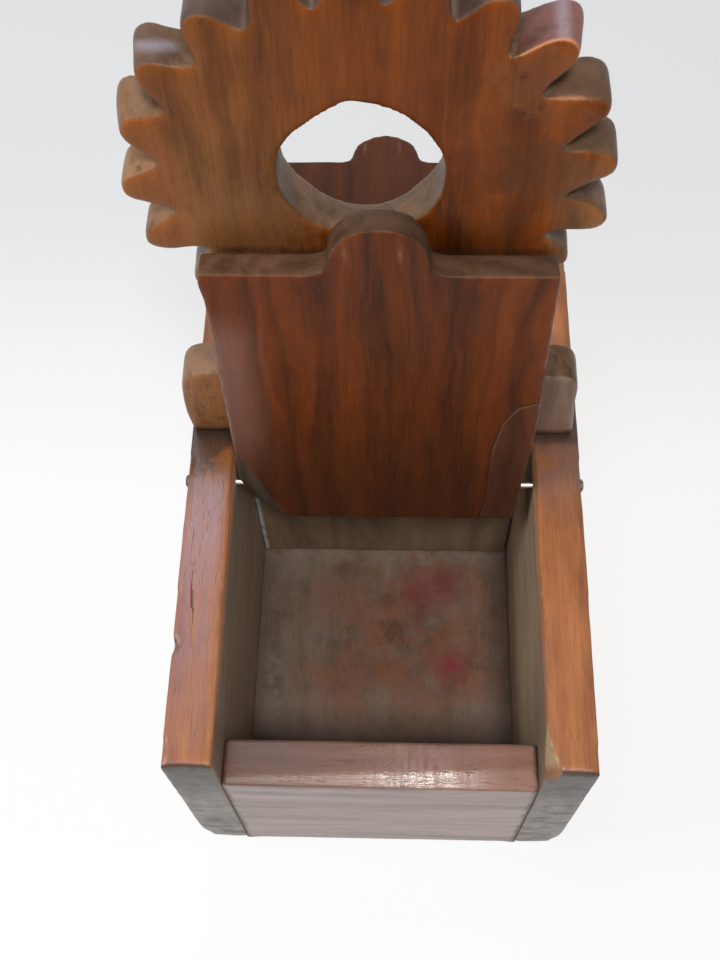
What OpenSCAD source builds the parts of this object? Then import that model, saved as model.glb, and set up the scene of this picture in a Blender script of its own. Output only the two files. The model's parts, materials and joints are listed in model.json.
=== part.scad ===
// Double salt box: two lidded compartments either side of a carved handle board.
// Millimetres. The origin is on the table under the middle of the handle board.
// The front compartment lies towards -Y with its lid open, the rear one towards +Y with its lid closed.

/* [Carcass] */
// Width over the two side boards
box_w = 140; // [115:1:180]
// Depth of one compartment, from the outer face of its end board to the handle board
compartment_d = 122; // [100:1:150]
// Thickness of a side board
side_t = 17; // [12:0.5:20]
// Height of a side board at its two ends
side_end_h = 111; // [106:0.5:116]
// Height of a side board at the handle board
side_mid_h = 114; // [110:0.5:125]
// Height of the front board
front_h = 90; // [70:1:96]
// Thickness of the front board
front_t = 16; // [10:0.5:20]
// Height of the rear board
rear_h = 90; // [70:1:96]
// Thickness of the rear board
rear_t = 16; // [10:0.5:20]
// Thickness of the bottom board
bottom_t = 9; // [7:0.5:14]
// Gap left between boards that are fitted together
board_gap = 0.05; // [0.02:0.01:0.2]

/* [Handle board] */
// Thickness of the handle board
handle_t = 14.5; // [10:0.5:18]
// Height of the ears above the side boards
ear_h = 38; // [25:1:48]
// Distance of an ear's outer edge inside the side board's outer face
ear_inset = 2; // [0:0.5:6]
// Radius of the outer top corner of an ear
ear_corner_r = 8; // [4:0.5:14]
// Radius of the cove between an ear and the neck
cove_r = 12; // [4:0.5:15]
// Height of the head's centre above the side boards
head_rise = 133.5; // [120:0.5:150]
// Sideways place of the head's centre, which is cut a little left of the middle
head_shift = -4.5; // [-8:0.5:8]
// Radius of the head at the bottom of the notches
head_root_r = 53.5; // [46:0.5:58]
// Radius of the head over the tips of the lobes
lobe_tip_r = 65.5; // [62:0.5:70]
// Radius of a lobe's rounded tip
lobe_cap_r = 5.5; // [2:0.25:5.75]
// Lobes that a full round of the head would have
lobes_round = 20; // [18:1:22]
// Lobes cut on the left of the crown
lobes_left = 8; // [6:1:8]
// Lobes cut on the right of the crown
lobes_right = 7; // [6:1:8]
// Turn of the crown notch from upright, in degrees
crown_turn = -5; // [-9:0.5:9]
// How far the notches crowd towards the crown, in degrees
lobe_crowding = 2.2; // [0:0.1:3]
// Radius of the finger hole's round ends
hole_r = 22; // [15:0.5:28]
// Height of the straight sides between the finger hole's round ends
hole_stretch = 5.5; // [1:0.5:12]
// Height of the finger hole's centre above the head's centre
hole_rise = 2.5; // [-4:0.5:6]
// Sideways place of the finger hole's centre
hole_shift = -6; // [-8:0.5:8]

/* [Lids] */
// Thickness of a lid
lid_t = 9.6; // [7:0.2:12]
// Length of a lid's flat part past the outer face of its end board
lid_overhang = 8; // [4:0.5:14]
// Length of a lid behind its pivot
lid_tail = 16.8; // [9:0.2:17]
// Gap between a lid and a side board at the pivot end
lid_side_gap = 1.3; // [0.6:0.1:2.5]
// How much narrower a lid is at its free end, on each side
lid_taper = 2.5; // [0:0.1:5]
// Length of the rounded finger tab
tab_l = 17.5; // [15:0.5:24]
// Width of the finger tab
tab_w = 29; // [20:0.5:30]
// Sideways place of the finger tab's middle
tab_shift = -1.5; // [-6:0.5:6]
// Length of the front lid's broken tail corner, along its edge
broken_l = 13; // [2:0.5:13]
// Width of the front lid's broken tail corner, along its end
broken_w = 17; // [4:0.5:24]
// Gap between an open lid's tab and the handle board
lean_gap = 0.3; // [0.1:0.05:1]
// Gap between a closed lid and its end board
seat_gap = 0.2; // [0.1:0.05:1]

/* [Lid pivots] */
// Distance of the pivot from the handle board
pivot_setback = 18; // [18:0.5:24]
// Distance of the pivot below the top of the side boards
pivot_drop = 4.5; // [3:0.5:9]
// Diameter of a pivot nail
pivot_nail_d = 2.4; // [2:0.1:4]
// Length of a pivot nail inside the lid
pivot_reach = 14; // [8:0.5:20]
// Room beyond a pivot nail's end in the lid
pivot_end_gap = 1; // [0.5:0.1:3]
// Running clearance of a pivot nail in the lid, on the radius
pivot_clearance = 0.06; // [0.02:0.01:0.1]
// Diameter of a pivot nail's head
pivot_head_d = 4.6; // [3.5:0.1:7]
// Height of a pivot nail's head
pivot_head_t = 1.1; // [0.6:0.1:2]
// Diameter of the flat on a pivot nail's head
pivot_flat_d = 3.2; // [2:0.1:3.4]

/* [Board nails] */
// Diameter of a board nail
nail_d = 2.2; // [1.6:0.1:3]
// Length of a board nail inside the board that it holds
nail_reach = 21; // [12:0.5:30]
// Length of a nail's point
nail_point_l = 4; // [2:0.5:6]
// Diameter left at the end of a nail's point
nail_tip_d = 0.4; // [0.3:0.1:0.8]
// Diameter of a board nail's head
nail_head_d = 4.4; // [3:0.1:6]
// Thickness of a board nail's head
nail_head_t = 1.1; // [0.6:0.1:2]
// Distance of a nail from a board's edge
nail_inset = 20; // [14:0.5:30]
// Clearance round a nail in its hole, on the radius
nail_clearance = 0.02; // [0.01:0.01:0.05]

/* [Hidden] */

LEFT = -1;
RIGHT = 1;
$fn = 64;

wood = "saddlebrown";
floor_wood = "dimgray";
lid_wood = [0.36, 0.15, 0.08];
metal = "silver";

// Carcass
inner_w = box_w - 2 * side_t;
fitted_w = inner_w - 2 * board_gap;
half_handle = handle_t / 2;
half_l = half_handle + compartment_d;
front_y = -(half_l - front_t / 2);
rear_y = half_l - rear_t / 2;
floor_front = -(half_l - front_t - board_gap);
floor_rear = half_l - rear_t - board_gap;

// Handle board
ear_z = side_mid_h + board_gap;
ear_top = ear_z + ear_h;
ear_half_w = box_w / 2 - ear_inset;
head_centre = [head_shift, side_mid_h + head_rise];
hole_centre = [hole_shift, head_centre[1] + hole_rise];
lobe_pitch = 360 / lobes_round;
lobe_cap_run = lobe_tip_r - lobe_cap_r;
// Largest angle between two points of an arc
arc_step = 9;
function unit(angle) = [cos(angle), sin(angle)];
function arc(centre, r, from, to) =
    let (steps = ceil(abs(to - from) / arc_step))
    [for (i = [0 : steps]) centre + r * unit(from + (to - from) * i / steps)];
function notch_angle(k) = 90 + crown_turn + lobe_pitch * k - lobe_crowding * sin(2 * lobe_pitch * k);
function notch(k) = head_centre + head_root_r * unit(notch_angle(k));
neck_left = notch(lobes_left)[0];
neck_right = notch(-lobes_right)[0];

// Lids
pivot_y = half_handle + pivot_setback;
pivot_z = side_mid_h - pivot_drop;
half_lid = lid_t / 2;
lid_run = compartment_d - pivot_setback;
lid_l = lid_run + lid_overhang;
lid_half_w = inner_w / 2 - lid_side_gap;
lid_end_half_w = lid_half_w - lid_taper;
lid_reach = lid_l + tab_l;
// Lean of an open lid past upright, where its tab meets the handle board
open_lean = asin((pivot_setback - lean_gap) / norm([lid_reach, half_lid])) - atan2(half_lid, lid_reach);
// Slope of a closed lid down to an end board of height h
function closed_slope(h) =
    acos(half_lid / norm([pivot_z - h - seat_gap, lid_run])) - atan2(lid_run, pivot_z - h - seat_gap);
front_travel = 90 + open_lean + closed_slope(front_h);
rear_travel = 90 + open_lean + closed_slope(rear_h);
pivot_bore_d = pivot_nail_d + 2 * pivot_clearance;

// Nails, as [y, z] on the outer face of a side board
front_nails = [for (z = [nail_inset, front_h - nail_inset]) [front_y, z]];
rear_nails = [for (z = [nail_inset, rear_h - nail_inset]) [rear_y, z]];
handle_nails = [for (z = [bottom_t + nail_inset, side_mid_h - nail_inset]) [0, z]];
bottom_nail_y = [
    floor_front + nail_inset,
    -half_handle - nail_inset,
    half_handle + nail_inset,
    floor_rear - nail_inset
];
bottom_nails = [for (y = bottom_nail_y) [y, bottom_t / 2]];
front_pivot = [-pivot_y, pivot_z];
rear_pivot = [pivot_y, pivot_z];
nail_l = side_t + nail_reach;
pivot_nail_l = side_t + lid_side_gap + pivot_reach;

// How far a cut runs past the face that it opens
over_cut = 1;

echo(front_lid_travel = front_travel, rear_lid_travel = rear_travel, open_lean = open_lean);
echo(rear_lid_slope = closed_slope(rear_h), pivot_y = pivot_y, pivot_z = pivot_z);

// Places its children at [y, z] on the outer face of one side, pointing inwards
module on_side(hand, place) {
    translate([hand * box_w / 2, place[0], place[1]])
        rotate([0, -90 * hand, 0])
            children();
}

// A round pointed shank along +Z
module shank(d, length) {
    cylinder(d = d, h = length - nail_point_l);
    translate([0, 0, length - nail_point_l])
        cylinder(d1 = d, d2 = nail_tip_d, h = nail_point_l);
}

// A board nail whose head is driven flush with the side board
module board_nails(hand, places) {
    for (place = places)
        on_side(hand, place) {
            shank(nail_d, nail_l);
            cylinder(d = nail_head_d, h = nail_head_t);
        }
}

// The holes that board nails fill in the side board and in the board behind it
module board_nail_holes(hand, places) {
    for (place = places)
        on_side(hand, place) {
            translate([0, 0, -over_cut])
                cylinder(d = nail_d + 2 * nail_clearance, h = over_cut + nail_l + board_gap);
            translate([0, 0, -over_cut])
                cylinder(d = nail_head_d + 2 * nail_clearance, h = over_cut + nail_head_t + nail_clearance);
        }
}

// A blunt pivot nail with its head standing on the side board
module pivot_nail(hand, place) {
    on_side(hand, place) {
        cylinder(d = pivot_nail_d, h = pivot_nail_l);
        translate([0, 0, -pivot_head_t])
            cylinder(d1 = pivot_flat_d, d2 = pivot_head_d, h = pivot_head_t / 2);
        translate([0, 0, -pivot_head_t / 2])
            cylinder(d = pivot_head_d, h = pivot_head_t / 2);
    }
}

module side_outline() {
    polygon([
        [-half_l, 0],
        [half_l, 0],
        [half_l, side_end_h],
        [half_handle, side_mid_h],
        [-half_handle, side_mid_h],
        [-half_l, side_end_h]
    ]);
}

module side_board(hand) {
    difference() {
        translate([hand * (box_w - side_t) / 2, 0, 0])
            rotate([90, 0, 90])
                linear_extrude(height = side_t, center = true)
                    side_outline();
        board_nail_holes(hand, concat(front_nails, rear_nails, handle_nails, bottom_nails));
        for (place = [front_pivot, rear_pivot])
            on_side(hand, place)
                translate([0, 0, -over_cut])
                    cylinder(d = pivot_nail_d + 2 * nail_clearance, h = side_t + 2 * over_cut);
    }
}

// A plain board between the sides, nailed from both of them
module end_board(y, thickness, height, places) {
    difference() {
        translate([-fitted_w / 2, y - thickness / 2, 0])
            cube([fitted_w, thickness, height]);
        for (hand = [LEFT, RIGHT])
            board_nail_holes(hand, places);
    }
}

// One lobe from its first notch on: straight flanks that run into a round tip
function lobe_points(k) =
    let (
        half = (notch_angle(k + 1) - notch_angle(k)) / 2,
        middle = notch_angle(k) + half,
        foot = head_root_r * unit(half) - [lobe_cap_run, 0],
        touch = atan2(foot[1], foot[0]) - acos(lobe_cap_r / norm(foot))
    )
    concat(
        [notch(k)],
        arc(head_centre + lobe_cap_run * unit(middle), lobe_cap_r, middle - touch, middle + touch)
    );

// The handle board's outline, up its right edge, round the lobes and down its left edge
module handle_outline() {
    tongue_z = bottom_t + board_gap;
    corner = [ear_half_w - ear_corner_r, ear_top - ear_corner_r];
    cove_z = ear_top + cove_r;
    polygon(concat(
        [[-fitted_w / 2, tongue_z], [fitted_w / 2, tongue_z], [fitted_w / 2, ear_z], [ear_half_w, ear_z]],
        arc(corner, ear_corner_r, 0, 90),
        arc([neck_right + cove_r, cove_z], cove_r, 270, 180),
        [for (k = [-lobes_right : lobes_left - 1]) each lobe_points(k)],
        [notch(lobes_left)],
        arc([neck_left - cove_r, cove_z], cove_r, 0, -90),
        arc([-corner[0], corner[1]], ear_corner_r, 90, 180),
        [[-ear_half_w, ear_z], [-fitted_w / 2, ear_z]]
    ));
}

// The finger hole, a little taller than it is wide
module hole_outline() {
    rise = [0, hole_stretch / 2];
    polygon(concat(arc(hole_centre + rise, hole_r, 0, 180), arc(hole_centre - rise, hole_r, 180, 360)));
}

// A lid's outline with its pivot on the X axis and its free end towards +Y
module lid_outline() {
    polygon([
        [-lid_half_w, -lid_tail],
        [lid_half_w, -lid_tail],
        [lid_end_half_w, lid_l],
        [-lid_end_half_w, lid_l]
    ]);
    translate([tab_shift, lid_l + tab_l - tab_w / 2])
        circle(d = tab_w);
    translate([tab_shift - tab_w / 2, lid_l - tab_w / 2])
        square([tab_w, tab_l]);
}

// The triangle that has broken off the left tail corner of the front lid
module broken_outline() {
    translate([-lid_half_w, -lid_tail])
        polygon([
            [-over_cut, -over_cut],
            [broken_w, -over_cut],
            [broken_w, 0],
            [0, broken_l],
            [-over_cut, broken_l]
        ]);
}

module lid_bores() {
    for (hand = [LEFT, RIGHT])
        translate([hand * inner_w / 2, 0, 0])
            rotate([0, -90 * hand, 0])
                cylinder(d = pivot_bore_d, h = lid_side_gap + pivot_reach + pivot_end_gap);
}

// A lid cut to the outline that its children draw, bored for its pivot nails
module lid() {
    difference() {
        linear_extrude(height = lid_t, center = true)
            children();
        lid_bores();
    }
}

module side_left() { color(wood) side_board(LEFT); }
module side_right() { color(wood) side_board(RIGHT); }
module front_board() { color(wood) end_board(front_y, front_t, front_h, front_nails); }
module rear_board() { color(wood) end_board(rear_y, rear_t, rear_h, rear_nails); }

module handle_board() {
    color(wood)
        difference() {
            rotate([90, 0, 0])
                linear_extrude(height = handle_t, center = true)
                    difference() {
                        handle_outline();
                        hole_outline();
                    }
            for (hand = [LEFT, RIGHT])
                board_nail_holes(hand, handle_nails);
        }
}

module bottom_board() {
    color(floor_wood)
        difference() {
            translate([-fitted_w / 2, floor_front, 0])
                cube([fitted_w, floor_rear - floor_front, bottom_t]);
            for (hand = [LEFT, RIGHT])
                board_nail_holes(hand, bottom_nails);
        }
}

module front_lid() {
    color(lid_wood)
        translate([0, -pivot_y, pivot_z])
            rotate([90 - open_lean, 0, 0])
                lid()
                    difference() {
                        lid_outline();
                        broken_outline();
                    }
}

module rear_lid() {
    color(lid_wood)
        translate([0, pivot_y, pivot_z])
            rotate([-closed_slope(rear_h), 0, 0])
                lid()
                    lid_outline();
}

module front_left_pivot_nail() { color(metal) pivot_nail(LEFT, front_pivot); }
module front_right_pivot_nail() { color(metal) pivot_nail(RIGHT, front_pivot); }
module rear_left_pivot_nail() { color(metal) pivot_nail(LEFT, rear_pivot); }
module rear_right_pivot_nail() { color(metal) pivot_nail(RIGHT, rear_pivot); }
module front_left_nails() { color(metal) board_nails(LEFT, front_nails); }
module front_right_nails() { color(metal) board_nails(RIGHT, front_nails); }
module rear_left_nails() { color(metal) board_nails(LEFT, rear_nails); }
module rear_right_nails() { color(metal) board_nails(RIGHT, rear_nails); }
module handle_left_nails() { color(metal) board_nails(LEFT, handle_nails); }
module handle_right_nails() { color(metal) board_nails(RIGHT, handle_nails); }
module bottom_left_nails() { color(metal) board_nails(LEFT, bottom_nails); }
module bottom_right_nails() { color(metal) board_nails(RIGHT, bottom_nails); }

side_left();
side_right();
front_board();
rear_board();
handle_board();
bottom_board();
front_lid();
rear_lid();
front_left_pivot_nail();
front_right_pivot_nail();
rear_left_pivot_nail();
rear_right_pivot_nail();
front_left_nails();
front_right_nails();
rear_left_nails();
rear_right_nails();
handle_left_nails();
handle_right_nails();
bottom_left_nails();
bottom_right_nails();
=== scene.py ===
"""A worn double salt box: its wood, nails and wear, in soft studio light."""

import json
import math

import bmesh
import bpy
import numpy as np
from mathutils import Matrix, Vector

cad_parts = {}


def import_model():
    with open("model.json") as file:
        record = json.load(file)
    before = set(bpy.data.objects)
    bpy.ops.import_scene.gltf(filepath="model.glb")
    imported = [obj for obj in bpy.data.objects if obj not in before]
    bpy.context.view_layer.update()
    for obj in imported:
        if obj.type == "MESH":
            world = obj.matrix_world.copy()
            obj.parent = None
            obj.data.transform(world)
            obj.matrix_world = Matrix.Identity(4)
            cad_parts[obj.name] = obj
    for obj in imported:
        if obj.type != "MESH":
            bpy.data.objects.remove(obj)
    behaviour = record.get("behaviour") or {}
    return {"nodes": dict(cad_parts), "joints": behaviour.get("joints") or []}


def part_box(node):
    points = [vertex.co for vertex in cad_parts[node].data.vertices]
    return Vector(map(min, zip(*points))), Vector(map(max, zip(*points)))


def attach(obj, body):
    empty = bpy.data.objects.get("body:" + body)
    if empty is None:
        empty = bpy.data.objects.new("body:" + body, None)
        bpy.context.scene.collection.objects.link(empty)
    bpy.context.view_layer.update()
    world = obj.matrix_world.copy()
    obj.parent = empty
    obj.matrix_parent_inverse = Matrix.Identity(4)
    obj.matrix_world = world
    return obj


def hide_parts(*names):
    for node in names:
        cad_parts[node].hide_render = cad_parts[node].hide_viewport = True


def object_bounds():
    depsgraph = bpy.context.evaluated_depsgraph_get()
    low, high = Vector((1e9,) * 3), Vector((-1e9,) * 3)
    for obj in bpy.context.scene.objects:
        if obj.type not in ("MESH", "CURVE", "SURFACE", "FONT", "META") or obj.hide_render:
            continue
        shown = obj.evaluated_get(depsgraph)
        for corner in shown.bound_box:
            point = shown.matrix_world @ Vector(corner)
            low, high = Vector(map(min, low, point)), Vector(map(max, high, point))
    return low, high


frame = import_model()
cad_low, cad_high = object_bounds()

# Millimetres to Blender's metres
MM = 0.001
X, Y, Z = np.eye(3)
ALONG, ACROSS, THROUGH = range(3)

# The camera's place in millimetres, its turn in degrees and its lens
CAMERA_PLACE = (3.3, -218.4, 483.2)
CAMERA_TURN = (27.51, 1.13, 1.314)
CAMERA_LENS = 43.95
SENSOR_WIDTH = 36

# Softboxes: direction from the object, distance and width in metres, watts and colour
KEY_LIGHT = {
    "direction": (0.06, -0.43, 0.90), "distance": 1.2, "width": 0.22, "watts": 8.0,
    "colour": (1.0, 0.96, 0.91),
}
WINDOW_LIGHT = {
    "direction": (-0.20, 0.38, 0.90), "distance": 1.2, "width": 0.42, "watts": 2.4,
    "colour": (0.70, 0.85, 1.0),
}
LEFT_LIGHT = {
    "direction": (-0.76, -0.15, 0.63), "distance": 1.3, "width": 0.5, "watts": 5.6,
    "colour": (1.0, 0.97, 0.93),
}
# The point that they face, in metres
LIGHTS_FACE = (0, 0, 0.12)
# Strength of the even light from all round
AMBIENT = 0.14
# How white what lies beyond the floor looks
BACKDROP = 0.85

# The floor's half width in metres and its own colour
FLOOR_HALF = 3.0
FLOOR_COLOUR = (0.87, 0.90, 0.93)
# How white it looks, near the object and far behind it, and how far that is in metres
NEAR_WHITE = 1.06
FAR_WHITE = 0.80
FAR_FROM = 0.0
FAR_TO = 0.24
# Distances between which the floor fades into what lies beyond it
FADE_FROM = 0.8
FADE_TO = 2.6
# How much of what the floor looks like is that white, and not the light on it
GLOW_SHARE = 0.72


# Boards and their own axes


class Board:
    """A board's own axes: millimetres along its grain, across its face and through it."""

    def __init__(self, along, across, through, origin=(0, 0, 0)):
        self.axes = np.array([along, across, through], float)
        self.origin = np.array(origin, float)

    def local(self, points):
        """Points of the world, in metres, as the board's own millimetres."""
        return (points - self.origin) @ self.axes.T / MM

    def world(self, points):
        """The board's own millimetres as points of the world."""
        return points @ self.axes * MM + self.origin


def unit(vector):
    """The vector's direction, with a length of 1."""
    vector = np.array(vector, float)
    return vector / np.linalg.norm(vector)


def lid_board(node, joint, hand):
    """A lid's axes: from its pivot to its free end, to the right, and out of its inner face."""
    hinge = next(j for j in frame["joints"] if j["name"] == joint)
    pivot = np.array(hinge["pos_m"])
    low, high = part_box(node)
    widest = max(frame["nodes"][node].data.polygons, key=lambda polygon: polygon.area)
    along = unit(np.cross(widest.normal, X))
    if (np.array((low + high) / 2) - pivot) @ along < 0:
        along = -along
    return Board(along, X, hand * np.cross(X, along), pivot)


SIDE = Board(Y, Z, X)
CROSS = Board(X, Z, -Y)
HANDLE = Board(Z, X, Y)
FLOOR = Board(Y, X, Z)
FRONT_LID = lid_board("front_lid", "front_lid_hinge", 1)
REAR_LID = lid_board("rear_lid", "rear_lid_hinge", -1)


# Meshes


def hull(node):
    """The convex outline of a plain board, without its nail holes."""
    shape = bmesh.new()
    shape.from_mesh(frame["nodes"][node].data)
    found = bmesh.ops.convex_hull(shape, input=shape.verts)
    loose = set(found["geom_interior"]) | set(found["geom_unused"])
    bmesh.ops.delete(shape, geom=[g for g in loose if isinstance(g, bmesh.types.BMVert)])
    kept = set(found["geom"])
    bmesh.ops.delete(shape, geom=[f for f in shape.faces if f not in kept], context="FACES_ONLY")
    return to_mesh(shape, node)


def slab(node, facing):
    """A sawn board, from the outline of its flat face and its thickness, without its nail holes."""
    facing = Vector(facing)
    shape = bmesh.new()
    shape.from_mesh(frame["nodes"][node].data)
    bmesh.ops.remove_doubles(shape, verts=shape.verts, dist=1e-6)
    heights = [v.co.dot(facing) for v in shape.verts]
    top = max(heights)
    level = 0.01 * MM
    away = [f for f in shape.faces if min(v.co.dot(facing) for v in f.verts) < top - level]
    bmesh.ops.delete(shape, geom=away, context="FACES")
    made = bmesh.ops.extrude_face_region(shape, geom=shape.faces[:], use_keep_orig=True)
    moved = [g for g in made["geom"] if isinstance(g, bmesh.types.BMVert)]
    bmesh.ops.translate(shape, verts=moved, vec=facing * (min(heights) - top))
    return to_mesh(shape, node)


def to_mesh(shape, name):
    """The shape as a mesh whose faces all look outwards."""
    bmesh.ops.recalc_face_normals(shape, faces=shape.faces)
    mesh = bpy.data.meshes.new(name)
    shape.to_mesh(mesh)
    shape.free()
    return mesh


def remeshed(mesh, voxel):
    """The same solid as an even skin of small quads."""
    solid = bpy.data.objects.new("solid", mesh)
    bpy.context.scene.collection.objects.link(solid)
    skin = solid.modifiers.new("skin", "REMESH")
    skin.mode = "VOXEL"
    skin.voxel_size = voxel * MM
    graph = bpy.context.evaluated_depsgraph_get()
    dense = bpy.data.meshes.new_from_object(solid.evaluated_get(graph))
    bpy.data.objects.remove(solid)
    return dense


def points_of(mesh):
    """A mesh's points, one in each row."""
    flat = np.empty(len(mesh.vertices) * 3)
    mesh.vertices.foreach_get("co", flat)
    return flat.reshape(-1, 3)


def set_points(mesh, points):
    """Moves a mesh's points to these rows."""
    mesh.vertices.foreach_set("co", points.ravel())
    mesh.update()


def normals_of(mesh):
    """The normals at a mesh's points, one in each row."""
    flat = np.empty(len(mesh.vertices) * 3, np.float32)
    mesh.vertex_normals.foreach_get("vector", flat)
    return flat.reshape(-1, 3).astype(float)


def eased(mesh, points, passes, share=1.0):
    """Rounds every edge more with each pass, by each point's share, and leaves flat faces flat."""
    pairs = np.empty(len(mesh.edges) * 2, np.int32)
    mesh.edges.foreach_get("vertices", pairs)
    pairs = pairs.reshape(-1, 2)
    start, end = np.concatenate([pairs, pairs[:, ::-1]]).T
    count = np.bincount(start, minlength=len(points))
    for _ in range(passes):
        total = [np.bincount(start, points[end, k], len(points)) for k in range(3)]
        points = points + 0.5 * np.reshape(share, (-1, 1)) * ((total / count).T - points)
    return points


def ripple(points, length, seed):
    """Smooth random waves from about -1 to 1 of about that length, the same on each run."""
    random = np.random.default_rng(seed)
    waves = 18
    ways = random.normal(size=(waves, 3))
    ways /= np.linalg.norm(ways, axis=1)[:, None] * length * random.uniform(0.7, 1.6, (waves, 1))
    turns = points @ ways.T * 2 * math.pi + random.uniform(0, 2 * math.pi, waves)
    return np.sin(turns).sum(1) / math.sqrt(waves)


# Wear, in a board's own millimetres

# Passes that round the lobes, and how much deeper they leave the notches between
BLUNT_PASSES = 12
NOTCH_DEPTH = 0.8
# Lengths of the waves in a hand-planed face, and how much the grain draws out the broad ones
BROAD_WAVE = 26
FINE_WAVE = 9
DRAWN_OUT = 0.3
# Length of the waves in a split face
SPLIT_WAVE = 6
# Distance from a crack on a board that has none
NO_CRACK = 100.0
# A reach past both faces of a board
RIGHT_THROUGH = 30
# The handle board: centres of its head and hole, as height and place across, and the hole's radius
HEAD_CENTRE = (247.5, -4.5)
HOLE_CENTRE = (251.0, -6.0)
HOLE_RADIUS = 23.0
HANDLE_FRONT = -7.25
HANDLE_REAR = 7.25
# Its lobes: where they begin, from the head's centre and in height, and over what length they grow blunt
LOBES_FROM = 50.0
LOBES_ABOVE = 195
LOBES_FADE = 6.0
# Its ears: how far out they begin, the height of their middle, half their height and how blunt they are
EARS_FROM = 53.5
EARS_HEIGHT = 138
EARS_HALF = 22
EARS_BLUNT = 0.4


class Skin:
    """A board's points, how much wear has cut from each, and how far it is from a crack."""

    def __init__(self, points):
        self.points = points
        self.cut = np.zeros(len(points))
        self.crack = np.full(len(points), NO_CRACK)

    def push(self, centre, reach, way):
        """Moves the wood round a point, fading over its reach along each axis."""
        near = (((self.points - centre) / reach) ** 2).sum(1)
        self.points = self.points + np.exp(-near)[:, None] * np.array(way, float)

    def trim(self, a, b, c, rough, seed):
        """Cuts off what stands past the plane through three points, on the side of (b - a) x (c - a)."""
        a, b, c = (np.array(corner, float) for corner in (a, b, c))
        facing = unit(np.cross(b - a, c - a))
        past = (self.points - a) @ facing + rough * (1 + ripple(self.points, SPLIT_WAVE, seed))
        deep = np.clip(past, 0, None)
        self.points = self.points - deep[:, None] * facing
        self.cut = np.maximum(self.cut, deep)

    def squeeze(self, centre, radius, width, inwards):
        """Draws the upper half of a round rim towards its centre."""
        gap = self.points[:, :2] - centre
        far = np.linalg.norm(gap, axis=1)
        upper = np.clip(gap[:, 0] / 10.0, 0, 1)
        share = np.exp(-(((far - radius) / width) ** 2)) * upper
        self.points[:, :2] -= gap * (share * inwards / far)[:, None]

    def split(self, path, axes):
        """Runs a crack along a path over two axes: above 0 is on its left, below 0 on its right."""
        places = self.points[:, axes]
        for start, end in zip(path, path[1:]):
            start, run = np.array(start, float), np.subtract(end, start)
            share = np.clip((places - start) @ run / (run @ run), 0, 1)
            gap = places - start - share[:, None] * run
            far = np.linalg.norm(gap, axis=1)
            side = np.sign(run[0] * gap[:, 1] - run[1] * gap[:, 0])
            self.crack = np.where(far < abs(self.crack), far * side, self.crack)


def weathered(name, mesh, board, voxel, passes, wave, seed, wear=None, blunt=None):
    """A board with rounded edges, uneven hand-planed faces and its own cuts and dents."""
    skin = remeshed(mesh, voxel)
    worn = Skin(board.local(points_of(skin)))
    if wear:
        wear(worn)
    sharp = board.world(worn.points)
    points = eased(skin, sharp, passes)
    set_points(skin, points)
    normals = normals_of(skin)
    bend = -((points - sharp) * normals).sum(1) / (voxel * MM)
    if blunt:
        moved = eased(skin, points, BLUNT_PASSES, blunt(board.local(points))) - points
        inwards = (moved * normals).sum(1) < 0
        points = points + moved * np.where(inwards, 1.0, -NOTCH_DEPTH)[:, None]
        set_points(skin, points)
        normals = normals_of(skin)
    local = board.local(points)
    hollow = 0.6 * ripple(local * (DRAWN_OUT, 1, 1), BROAD_WAVE, seed)
    hollow = hollow + 0.4 * ripple(local, FINE_WAVE, seed + 1)
    points = points - normals * (wave * MM * (1 + np.clip(hollow, -1, 1)) / 2)[:, None]
    set_points(skin, np.clip(points, cad_low, cad_high))
    for mark, values in (("edge", bend), ("cut", worn.cut), ("crack", worn.crack)):
        skin.attributes.new(mark, "FLOAT", "POINT").data.foreach_set("value", values)
    skin.polygons.foreach_set("use_smooth", [True] * len(skin.polygons))
    shape = bpy.data.objects.new(name, skin)
    bpy.context.scene.collection.objects.link(shape)
    return shape


def wear_left_side(skin):
    """A nick in the outer arris, blunt front corners and a short crack in the top."""
    skin.push((-88, 112, -70), (2.0, 2.5, 2.5), (0, -0.8, 1.2))
    skin.push((-129, 111, -62), (2.5, 2.5, 14), (0.3, -0.3, 0))
    skin.push((-129, 0, -70), (6, 9, 6), (0, 1.5, 3.0))
    skin.split([(-68.5, -64.8), (-74.7, -64.3)], (ALONG, THROUGH))


def wear_right_side(skin):
    """The inner arris is worn towards the front, its front corner is split off, and others are blunt."""
    skin.trim((-45, 112.6, 53), (-118, 109.6, 53), (-118, 111.3, 54.2), rough=0.1, seed=3)
    skin.trim((-115, 111.3, 53), (-129.25, 101, 53), (-129.25, 111, 57.6), rough=0.25, seed=4)
    skin.push((-129, 111, 64), (2.5, 2.5, 12), (0.3, -0.3, 0))
    skin.push((-129, 0, 70), (6, 9, 6), (0, 1.5, -3.0))


def wear_front(skin):
    """The front arris is worn round, most on the right, and the ends fill their seams."""
    for end in (-1, 1):
        skin.push((end * 53, 45, 120), (2, 200, 200), (end * 0.5, 0, 0))
        skin.push((end * 53, 0, 128), (3, 3, 4), (end * 1.2, -1.2, 0.4))
    skin.trim((-53, 90.0, 126.5), (53, 87.5, 129.25), (53, 90.1, 122.0), rough=0.0, seed=5)


def wear_hole(skin):
    """The hole's upper rim is drawn in to a peak."""
    skin.squeeze(HOLE_CENTRE, HOLE_RADIUS, width=5.0, inwards=1.4)
    # The peak, the rim on its left and the rim on its right
    skin.push((273, -8.5, 0), (3, 3.5, RIGHT_THROUGH), (1.2, 0, 0))
    skin.push((269, -19, 0), (7, 8, RIGHT_THROUGH), (-1.2, 0.8, 0))
    skin.push((266, 8, 0), (8, 9, RIGHT_THROUGH), (-0.5, -0.6, 0))


def wear_lobe_fronts(skin):
    """Two right lobes are worn down in front."""
    skin.push((278, 52, -7), (6, 8, 5), (-2.2, 0, 0))
    skin.push((257, 60, -7), (6, 8, 5), (-1.5, 0, 0))


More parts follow.
